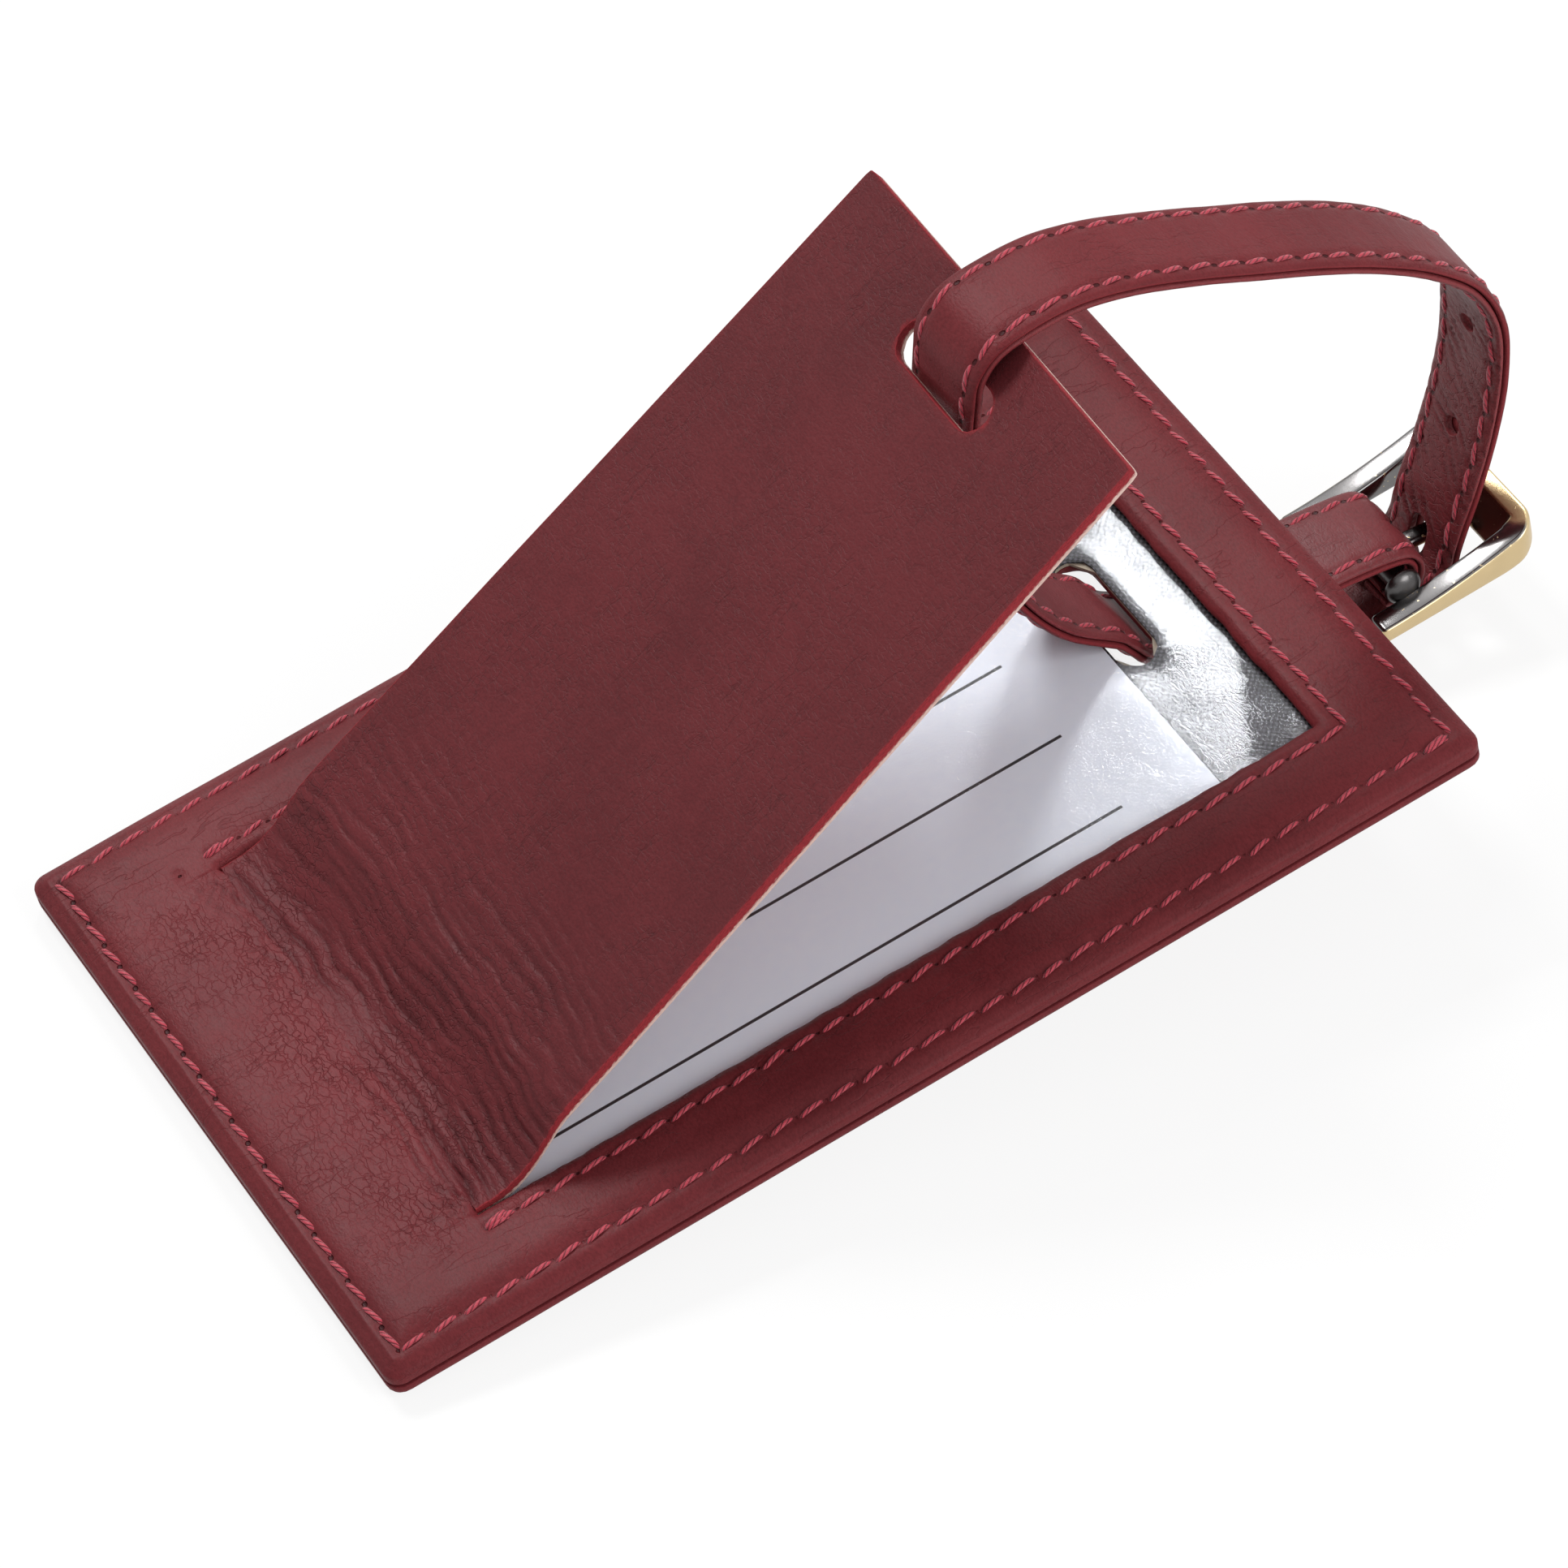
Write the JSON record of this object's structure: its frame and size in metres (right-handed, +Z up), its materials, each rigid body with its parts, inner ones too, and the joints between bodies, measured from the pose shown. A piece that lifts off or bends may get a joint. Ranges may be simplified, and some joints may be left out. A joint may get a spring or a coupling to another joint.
{
  "type": "luggage tag",
  "caption": "Flat stitched leather luggage tag with a lifting flap over a clear card window, and a leather strap looped through slots and closed by a buckle.",
  "frame": {"origin": "on the ground under the middle of the part's box, as the tag lies with its hinge end down and its strap end propped on the buckled strap", "axes": "+X along the tag towards the strap end, +Y across it, +Z up"},
  "size_m": [0.1372, 0.07, 0.0608],
  "materials": {
    "front_leather": "satin, fine grain",
    "flap_leather": "satin, creased at the hinge",
    "back_leather": "satin, fine grain",
    "strap_leather": "satin, smooth",
    "strap_inner_leather": "satin, wrinkled",
    "thread": "twisted",
    "lining": "woven",
    "film": "clear, glossy",
    "card": "matte, ruled",
    "board": "matte",
    "gold": "plated, polished",
    "nickel": "dark, polished"
  },
  "bodies": {
    "tag": {"front_panel": "front_leather", "back_panel": "back_leather", "stiffener_board": "board", "lining_cloth": "lining", "window_film": "film", "perimeter_needle_thread": "thread", "perimeter_bobbin_thread": "thread", "window_needle_thread": "thread"},
    "flap": {"flap": "flap_leather"},
    "card": {"id_card": "card"},
    "strap_loop": {"strap_outer_layer": "strap_leather", "strap_inner_layer": "strap_inner_leather", "strap_outer_thread_near": "thread", "strap_outer_thread_far": "thread", "strap_inner_thread_near": "thread", "strap_inner_thread_far": "thread"},
    "buckle": {"buckle_frame": "gold", "buckle_bar": "nickel"},
    "prong": {"buckle_prong": "gold"}
  },
  "joints": [
    {"name": "flap_hinge", "type": "hinge", "parent": "tag", "child": "flap", "pos_m": [-0.05319, 0, 0.00558], "axis": [0, -1, 0], "range_deg": [-27.2, 0]},
    {"name": "loop_swing", "type": "hinge", "parent": "tag", "child": "strap_loop", "pos_m": [0.02625, 0, 0.01439], "axis": [0, -1, 0], "range_deg": [-46.24, 0]},
    {"name": "card_slide", "type": "slide", "parent": "tag", "child": "card", "axis": [0.9909, 0, 0.1345], "range_m": [-0.009, 0]},
    {"name": "buckle_swivel", "type": "hinge", "parent": "strap_loop", "child": "buckle", "pos_m": [0.05506, 0, 0.00733], "axis": [0, -1, 0], "range_deg": [-4, 2]},
    {"name": "prong_swing", "type": "hinge", "parent": "buckle", "child": "prong", "pos_m": [0.05506, 0, 0.00733], "axis": [0, -1, 0], "range_deg": [-2, 0]}
  ],
  "couplings": [
    {"joint": "loop_swing", "follows": "flap_hinge", "ratio": 1.7}
  ]
}
